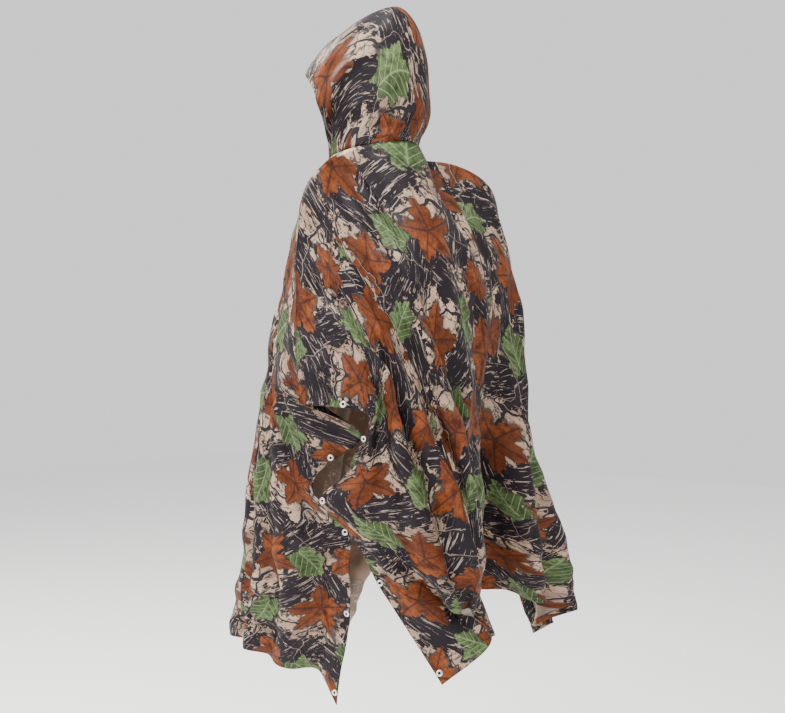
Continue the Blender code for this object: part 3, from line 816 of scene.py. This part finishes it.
HEM_LINE = PANEL_HALF_WIDTH - HEM_DEPTH
side_columns = 7
across = np.concatenate((
    np.linspace(-PANEL_HALF_WIDTH, -HEM_LINE, side_columns)[:-1],
    np.linspace(-HEM_LINE, HEM_LINE, PANEL_COLUMNS),
    np.linspace(HEM_LINE, PANEL_HALF_WIDTH, side_columns)[1:],
))
down = np.concatenate((
    np.linspace(SEAM_START, PANEL_LENGTH - HEM_DEPTH, PANEL_ROWS),
    np.linspace(PANEL_LENGTH - HEM_DEPTH, PANEL_LENGTH, side_columns)[1:],
))


def creased_panel(table, folds, rows, behind, seed):
    """A hanging panel with its creases, and its outward directions."""
    outward = -behind
    base = fall_surface(table, across, down, behind)
    base = base + outward_of(base, outward) * fold_depth(folds, across, down)[:, :, None]
    normals = outward_of(base, outward)
    height = crease_height(rows, across, down) + crumple(across, down, seed, *PANEL_CRUMPLE)
    height += crumple(across, down, seed + 5, *FINE_CRUMPLE)
    seam_rest = np.clip(down / 0.03, 0, 1)[:, None]
    hem_rest = 1 - 0.25 * np.clip((down - PANEL_LENGTH + 0.03) / 0.03, 0, 1)[:, None]
    surface = base + normals * (height * seam_rest * hem_rest)[:, :, None]
    return surface, outward_of(surface, outward)


back, back_normals = creased_panel(BACK_STATIONS, BACK_FOLDS, BACK_CREASES, 1.0, 11)
front, front_normals = creased_panel(FRONT_STATIONS, FRONT_FOLDS, FRONT_CREASES, -1.0, 23)
seam_settle(back_normals, front_normals, np.abs(across) >= NECK_REACH)
flat_u, flat_v = np.meshgrid(across + 2.0, down)
back_flat = np.stack((flat_u, 3.0 - flat_v), axis=-1)
front_flat = np.stack((flat_u, 3.0 + flat_v), axis=-1)
cloth_sides = (CLOTH_OUTSIDE, CLOTH_INSIDE)
back_piece = cloth_piece(
    "back_panel_cloth", back, back - back_normals * SHELL, back_flat, True, cloth_sides)
front_piece = cloth_piece(
    "front_panel_cloth", front, front - front_normals * SHELL, front_flat, False, cloth_sides)


def turned_strip(name, points, normals, flat_places, flip):
    """The turned edge of a hem: its printed side faces the inside of the poncho."""
    top = points - normals * (SHELL + STRIP_CLEAR)
    low = top - normals * STRIP_SHELL
    shifted = flat_places + np.array(STRIP_PRINT_SHIFT)
    return cloth_piece(name, top, low, shifted, flip, (CLOTH_INSIDE, CLOTH_OUTSIDE))


strips = {}
edge_columns = side_columns - 1
for label, points, normals, places, flip in (
    ("back", back, back_normals, back_flat, True),
    ("front", front, front_normals, front_flat, False),
):
    inner_columns = slice(edge_columns + 1, -edge_columns - 1)
    strips[label + "_bottom_hem"] = turned_strip(
        label + "_bottom_hem_strip", points[-side_columns:, inner_columns],
        normals[-side_columns:, inner_columns], places[-side_columns:, inner_columns], flip)
    strips[label + "_left_hem"] = turned_strip(
        label + "_left_hem_strip", points[1:, -side_columns:], normals[1:, -side_columns:],
        places[1:, -side_columns:], flip)
    strips[label + "_right_hem"] = turned_strip(
        label + "_right_hem_strip", points[1:, :side_columns], normals[1:, :side_columns],
        places[1:, :side_columns], flip)


# --- hood ---
def turned_place(x, y, turn):
    return x * np.cos(turn) - y * np.sin(turn), x * np.sin(turn) + y * np.cos(turn)


def hood_form(side, arches, steps):
    """Outer surface of one half hood at fine arches and steps, without small creases."""
    ring = NECK_RADIUS - NECK_SEAM_GAP
    turn = math.radians(HOOD_TURN)
    ridge = smooth_through(range(len(HOOD_RIDGE)), HOOD_RIDGE, arches)
    share = (arches / LAST_ARCH)[:, None]
    foot = np.radians(NECK_ANGLE_FRONT + (NECK_ANGLE_BACK - NECK_ANGLE_FRONT) * share)
    lie_flat = share ** 5
    rise = (steps / LAST_STEP)[None, :]
    angle = rise * math.pi / 2
    foot_across = ring * np.sin(foot)
    belly = np.minimum(1.0, 2.6 * rise)
    belly = belly * belly * (3 - 2 * belly)
    out = foot_across + (ridge[:, 2:3] * CM - foot_across) * belly
    climb = np.sin(angle) ** 0.80
    jut = np.sin(angle) ** (0.80 + FACE_RECEDE * (1 - share) ** 3)
    wide = out * np.clip(np.cos(angle), 0, 1) ** 0.72
    forward = ring * np.cos(foot) * (1 - jut) + ridge[:, 0:1] * CM * jut
    round_back = foot + (math.pi - foot) * rise
    wide = wide + (ring * np.sin(round_back) - wide) * lie_flat
    forward = forward + (ring * np.cos(round_back) - forward) * lie_flat
    x, y = turned_place(side * np.maximum(wide, RIDGE_GAP / 2), -forward, turn)
    foot_x, foot_y = turned_place(side * foot_across, -ring * np.cos(foot), turn)
    base = neck_height(foot_x, foot_y)
    height = base + (ridge[:, 1:2] * CM - base) * climb
    height = height + (neck_height(x, y) - height) * lie_flat
    return np.stack((x, y, height), axis=-1)


hood_arches = np.linspace(0, LAST_ARCH, HOOD_ROWS)
hood_steps = np.linspace(0, LAST_STEP, HOOD_COLUMNS)


def hood_crease_height(rows):
    step_grid, arch_grid = np.meshgrid(hood_steps, hood_arches)
    height = np.zeros_like(step_grid)
    for count, (from_arch, from_step, to_arch, to_step, width, rise) in enumerate(rows):
        run_arch, run_step = to_arch - from_arch, to_step - from_step
        length = math.hypot(run_arch, run_step)
        run_arch /= length
        run_step /= length
        along = (arch_grid - from_arch) * run_arch + (step_grid - from_step) * run_step
        aside = (step_grid - from_step) * run_arch - (arch_grid - from_arch) * run_step
        aside = (aside + 0.15 * np.sin(along * 1.3 + count)) / width
        share = np.clip(along / length, 0, 1)
        ends = np.sin(share * math.pi) ** 0.7
        height += rise * ends * fold_shape(aside, 0.25)
    return height * 0.001


def hood_half(side, seed):
    base = hood_form(side, hood_arches, hood_steps)
    normals = outward_of(base, side)
    height = hood_crease_height(HOOD_CREASES)
    height = height + crumple(hood_steps * 0.03, hood_arches * 0.035, seed, *HOOD_CRUMPLE)
    calm = np.clip(hood_steps / 0.5, 0, 1) * np.clip((LAST_STEP - hood_steps) / 0.7, 0, 1)
    calm = calm[None, :] * np.clip((LAST_ARCH - hood_arches) / 0.5, 0, 1)[:, None]
    surface = base + normals * (height * calm)[:, :, None]
    return surface, outward_of(surface, side)


left_hood, left_hood_normals = hood_half(1.0, 31)
right_hood, right_hood_normals = hood_half(-1.0, 37)
ridge_way = left_hood_normals[:, -1] + right_hood_normals[:, -1]
ridge_way /= np.linalg.norm(ridge_way, axis=-1, keepdims=True)
left_hood_normals[:, -1] = ridge_way
right_hood_normals[:, -1] = ridge_way
hood_u, hood_v = np.meshgrid(hood_steps * 0.031, hood_arches * 0.036)
left_hood_piece = cloth_piece(
    "hood_left_cloth", left_hood, left_hood - left_hood_normals * SHELL,
    np.stack((5.0 - hood_v * 0.93, 4.3 + hood_u), axis=-1), False, cloth_sides)
right_hood_piece = cloth_piece(
    "hood_right_cloth", right_hood, right_hood - right_hood_normals * SHELL,
    np.stack((6.2 + hood_v * 0.93, 4.4 + hood_u), axis=-1), True, cloth_sides)


# --- stitches: one thread cylinder repeated along each seam line ---
def stitch_tree():
    tree = bpy.data.node_groups.new("row of stitches", "GeometryNodeTree")
    tree.interface.new_socket("Geometry", in_out="INPUT", socket_type="NodeSocketGeometry")
    for label, value in (("Stitch spacing", 0.006), ("Stitch length", 0.0042), ("Thread radius", 0.00035)):
        socket = tree.interface.new_socket(label, in_out="INPUT", socket_type="NodeSocketFloat")
        socket.default_value = value
    tree.interface.new_socket("Geometry", in_out="OUTPUT", socket_type="NodeSocketGeometry")
    nodes, links = tree.nodes, tree.links
    source = nodes.new("NodeGroupInput")
    result = nodes.new("NodeGroupOutput")
    curve = nodes.new("GeometryNodeMeshToCurve")
    spaced = nodes.new("GeometryNodeResampleCurve")
    spaced.mode = "LENGTH"
    tangent = nodes.new("GeometryNodeInputTangent")
    facing = nodes.new("FunctionNodeAlignRotationToVector")
    facing.axis = "Z"
    thread = nodes.new("GeometryNodeMeshCylinder")
    thread.inputs["Vertices"].default_value = 6
    place = nodes.new("GeometryNodeInstanceOnPoints")
    real = nodes.new("GeometryNodeRealizeInstances")
    paint = nodes.new("GeometryNodeSetMaterial")
    paint.inputs["Material"].default_value = THREAD
    links.new(source.outputs["Geometry"], curve.inputs[0])
    links.new(curve.outputs[0], spaced.inputs["Curve"])
    links.new(source.outputs["Stitch spacing"], spaced.inputs["Length"])
    links.new(source.outputs["Stitch length"], thread.inputs["Depth"])
    links.new(source.outputs["Thread radius"], thread.inputs["Radius"])
    links.new(tangent.outputs[0], facing.inputs["Vector"])
    links.new(spaced.outputs[0], place.inputs["Points"])
    links.new(thread.outputs["Mesh"], place.inputs["Instance"])
    links.new(facing.outputs[0], place.inputs["Rotation"])
    links.new(place.outputs[0], real.inputs[0])
    links.new(real.outputs[0], paint.inputs["Geometry"])
    links.new(paint.outputs[0], result.inputs[0])
    return tree


def set_inputs(modifier, values):
    for item in modifier.node_group.interface.items_tree:
        if item.item_type == "SOCKET" and item.in_out == "INPUT" and item.name in values:
            modifier[item.identifier] = values[item.name]


def frozen(piece):
    """The evaluated mesh in place of the modifiers."""
    graph = bpy.context.evaluated_depsgraph_get()
    made = bpy.data.meshes.new_from_object(piece.evaluated_get(graph))
    piece.modifiers.clear()
    piece.data = made
    return piece


STITCHES = stitch_tree()
THREAD_RADIUS = 0.00032


def stitch_line(name, lines, spacing=0.006):
    vertices, edges = [], []
    for line in lines:
        first = len(vertices)
        vertices.extend(line.tolist())
        edges.extend((first + i, first + i + 1) for i in range(len(line) - 1))
    mesh = bpy.data.meshes.new(name)
    mesh.from_pydata(vertices, edges, [])
    piece = bpy.data.objects.new(name, mesh)
    bpy.context.scene.collection.objects.link(piece)
    modifier = piece.modifiers.new("stitches", "NODES")
    modifier.node_group = STITCHES
    set_inputs(modifier, {
        "Stitch spacing": spacing,
        "Stitch length": spacing * 0.7,
        "Thread radius": THREAD_RADIUS,
    })
    return frozen(piece)


def on_outside(points, normals, lift=0.0002):
    return points + normals * lift


inset_column = edge_columns
stitches = {}
for label, points, normals in (("back", back, back_normals), ("front", front, front_normals)):
    bottom_row = -side_columns
    middle = slice(inset_column, -inset_column)
    lines = [
        on_outside(points[bottom_row, middle], normals[bottom_row, middle]),
        on_outside(points[2:bottom_row + 1, inset_column], normals[2:bottom_row + 1, inset_column]),
        on_outside(points[2:bottom_row + 1, -inset_column - 1], normals[2:bottom_row + 1, -inset_column - 1]),
    ]
    stitches[label] = stitch_line(label + "_hem_stitches", lines)
seam_row = 2
right_of_neck = across <= -NECK_REACH
left_of_neck = across >= NECK_REACH
stitches["shoulder"] = stitch_line("shoulder_seam_stitches", [
    on_outside(back[seam_row][right_of_neck], back_normals[seam_row][right_of_neck]),
    on_outside(back[seam_row][left_of_neck], back_normals[seam_row][left_of_neck]),
])
stitches["hood"] = stitch_line("hood_seam_stitches", [
    on_outside(left_hood[:, -4], left_hood_normals[:, -4]),
    on_outside(right_hood[:, -4], right_hood_normals[:, -4]),
    on_outside(left_hood[5, :], left_hood_normals[5, :]),
    on_outside(right_hood[5, :], right_hood_normals[5, :]),
])


# --- eyelets ---
def eyelet_mesh():
    """One rolled ring whose hole is closed by a near-black cap, painted shade of the recess, standing on the
    plane of the cloth.
    """
    profile = (
        (EYELET_HOLE, 0.0002),
        (EYELET_HOLE, EYELET_HEIGHT * 0.55),
        (EYELET_HOLE * 1.12, EYELET_HEIGHT * 0.85),
        (EYELET_HOLE * 1.4, EYELET_HEIGHT),
        (EYELET_RADIUS * 0.72, EYELET_HEIGHT * 0.92),
        (EYELET_RADIUS * 0.9, EYELET_HEIGHT * 0.62),
        (EYELET_RADIUS, EYELET_HEIGHT * 0.2),
        (EYELET_RADIUS, -0.0002),
    )
    mesh = bmesh.new()
    around = 32
    rings = []
    for radius, height in profile:
        ring = []
        for step in range(around):
            angle = step / around * math.tau
            ring.append(mesh.verts.new((radius * math.cos(angle), radius * math.sin(angle), height)))
        rings.append(ring)
    for lower, upper in zip(rings, rings[1:]):
        for step in range(around):
            ahead = (step + 1) % around
            face = mesh.faces.new((lower[step], upper[step], upper[ahead], lower[ahead]))
            face.smooth = True
    # cap across the hole in the near-black material: painted shade of the recess
    cap = mesh.faces.new(rings[0])
    cap.material_index = 1
    mesh.faces.new(rings[-1][::-1])
    bmesh.ops.recalc_face_normals(mesh, faces=mesh.faces)
    data = bpy.data.meshes.new("eyelet")
    mesh.to_mesh(data)
    mesh.free()
    data.materials.append(METAL)
    data.materials.append(HOLE_PAINTED_SHADE)
    return data


EYELET_PLACES = (2.2, 22.0, 46.0, 71.0, 96.0, 122.0, 147.0, 172.0, 196.0, 215.8)
one_eyelet = eyelet_mesh()


def place_on(surface, normals, place_across, place_down):
    column = int(np.clip(np.searchsorted(across, place_across), 1, len(across) - 2))
    row = int(np.clip(np.searchsorted(down, place_down), 1, len(down) - 2))
    return surface[row, column], normals[row, column]


def eyelet_piece(side, label, count, from_front):
    in_front = from_front < PANEL_LENGTH
    below = min(abs(PANEL_LENGTH - from_front), PANEL_LENGTH - EYELET_INSET)
    surface, normals = (front, front_normals) if in_front else (back, back_normals)
    centre, outward = place_on(surface, normals, side * (PANEL_HALF_WIDTH - EYELET_INSET), below)
    piece = bpy.data.objects.new("eyelet_" + label.lower() + "_" + str(count), one_eyelet.copy())
    facing = Vector((0, 0, 1)).rotation_difference(Vector(outward)).to_matrix().to_4x4()
    piece.data.transform(Matrix.Translation(Vector(centre + outward * 0.0003)) @ facing)
    bpy.context.scene.collection.objects.link(piece)
    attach(piece, "root")
    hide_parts("EYELET_" + label + "_" + str(count))
    return piece


for side, label in ((1.0, "LEFT"), (-1.0, "RIGHT")):
    for count, up in enumerate(EYELET_PLACES, start=1):
        eyelet_piece(side, label, count, up * CM)

# --- each piece attached to the root, its imported part hidden ---
PANEL_FLAT = (PANEL_HALF_WIDTH * 2, PANEL_LENGTH)
HOOD_FLAT = (0.30, 0.36)
for piece, node, slot, flat, extra in (
    (back_piece, "BACK_PANEL", "printed_cloth", PANEL_FLAT, [stitches["back"], stitches["shoulder"]]),
    (front_piece, "FRONT_PANEL", "printed_cloth", PANEL_FLAT, [stitches["front"]]),
    (left_hood_piece, "HOOD_LEFT", "hood_cloth", HOOD_FLAT, [stitches["hood"]]),
    (right_hood_piece, "HOOD_RIGHT", "hood_cloth", HOOD_FLAT, []),
):
    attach(piece, "root")
    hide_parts(node)
    for line in extra:
        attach(line, "root")
    for strip_name, strip in strips.items():
        if node == strip_name.split("_")[0].upper() + "_PANEL":
            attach(strip, "root")
            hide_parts(strip_name.upper())
            extra = extra + [strip]

# --- floor, light and camera ---
GROUND_LEVEL = -1.46
bpy.ops.mesh.primitive_plane_add(size=14.0, location=(0, 0, GROUND_LEVEL))
floor = bpy.context.object
floor.name = "studio_floor"
floor.data.materials.append(plain_material("pale floor", (0.93, 0.93, 0.93), 0.9))

world = bpy.data.worlds.new("soft room")
bpy.context.scene.world = world
world.use_nodes = True
world.node_tree.nodes["Background"].inputs[0].default_value = (1.0, 1.0, 1.0, 1.0)
world.node_tree.nodes["Background"].inputs[1].default_value = 1.1


def soft_light(name, place, aim, size, power, colour):
    data = bpy.data.lights.new(name, "AREA")
    data.shape = "DISK"
    data.size = size
    data.energy = power
    data.color = colour
    light = bpy.data.objects.new(name, data)
    bpy.context.scene.collection.objects.link(light)
    light.location = place
    light.rotation_euler = (Vector(aim) - Vector(place)).to_track_quat("-Z", "Y").to_euler()
    return light


soft_light("key", (0.6, -2.2, 2.3), (0, 0, -0.4), 0.8, 270, (1.0, 0.96, 0.90))
soft_light("top", (0.9, 0.7, 2.6), (0, 0, -0.2), 0.5, 130, (1.0, 0.99, 0.97))
soft_light("fill", (3.4, 0.2, 0.9), (0, 0, -0.5), 0.9, 60, (0.98, 0.98, 1.0))

CAMERA_AZIMUTH = 130.0
CAMERA_DISTANCE = 3.0
CAMERA_HEIGHT = -0.33
PIXELS_PER_METRE = 486.0
PICTURE_WIDTH, PICTURE_HEIGHT = 785.0, 713.0
AXIS_ACROSS, AXIS_DOWN = 373.0, 320.0
camera_data = bpy.data.cameras.new("camera")
camera_data.sensor_width = 36.0
camera_data.lens = 36.0 * PIXELS_PER_METRE * CAMERA_DISTANCE / PICTURE_WIDTH
camera_data.shift_x = (PICTURE_WIDTH / 2 - AXIS_ACROSS) / PICTURE_WIDTH
camera_data.shift_y = (AXIS_DOWN - PICTURE_HEIGHT / 2) / PICTURE_WIDTH
camera = bpy.data.objects.new("camera", camera_data)
bpy.context.scene.collection.objects.link(camera)
around = math.radians(CAMERA_AZIMUTH)
camera.location = (
    CAMERA_DISTANCE * math.sin(around),
    -CAMERA_DISTANCE * math.cos(around),
    CAMERA_HEIGHT,
)
camera.rotation_euler = (math.pi / 2, 0.0, around)
bpy.context.scene.camera = camera
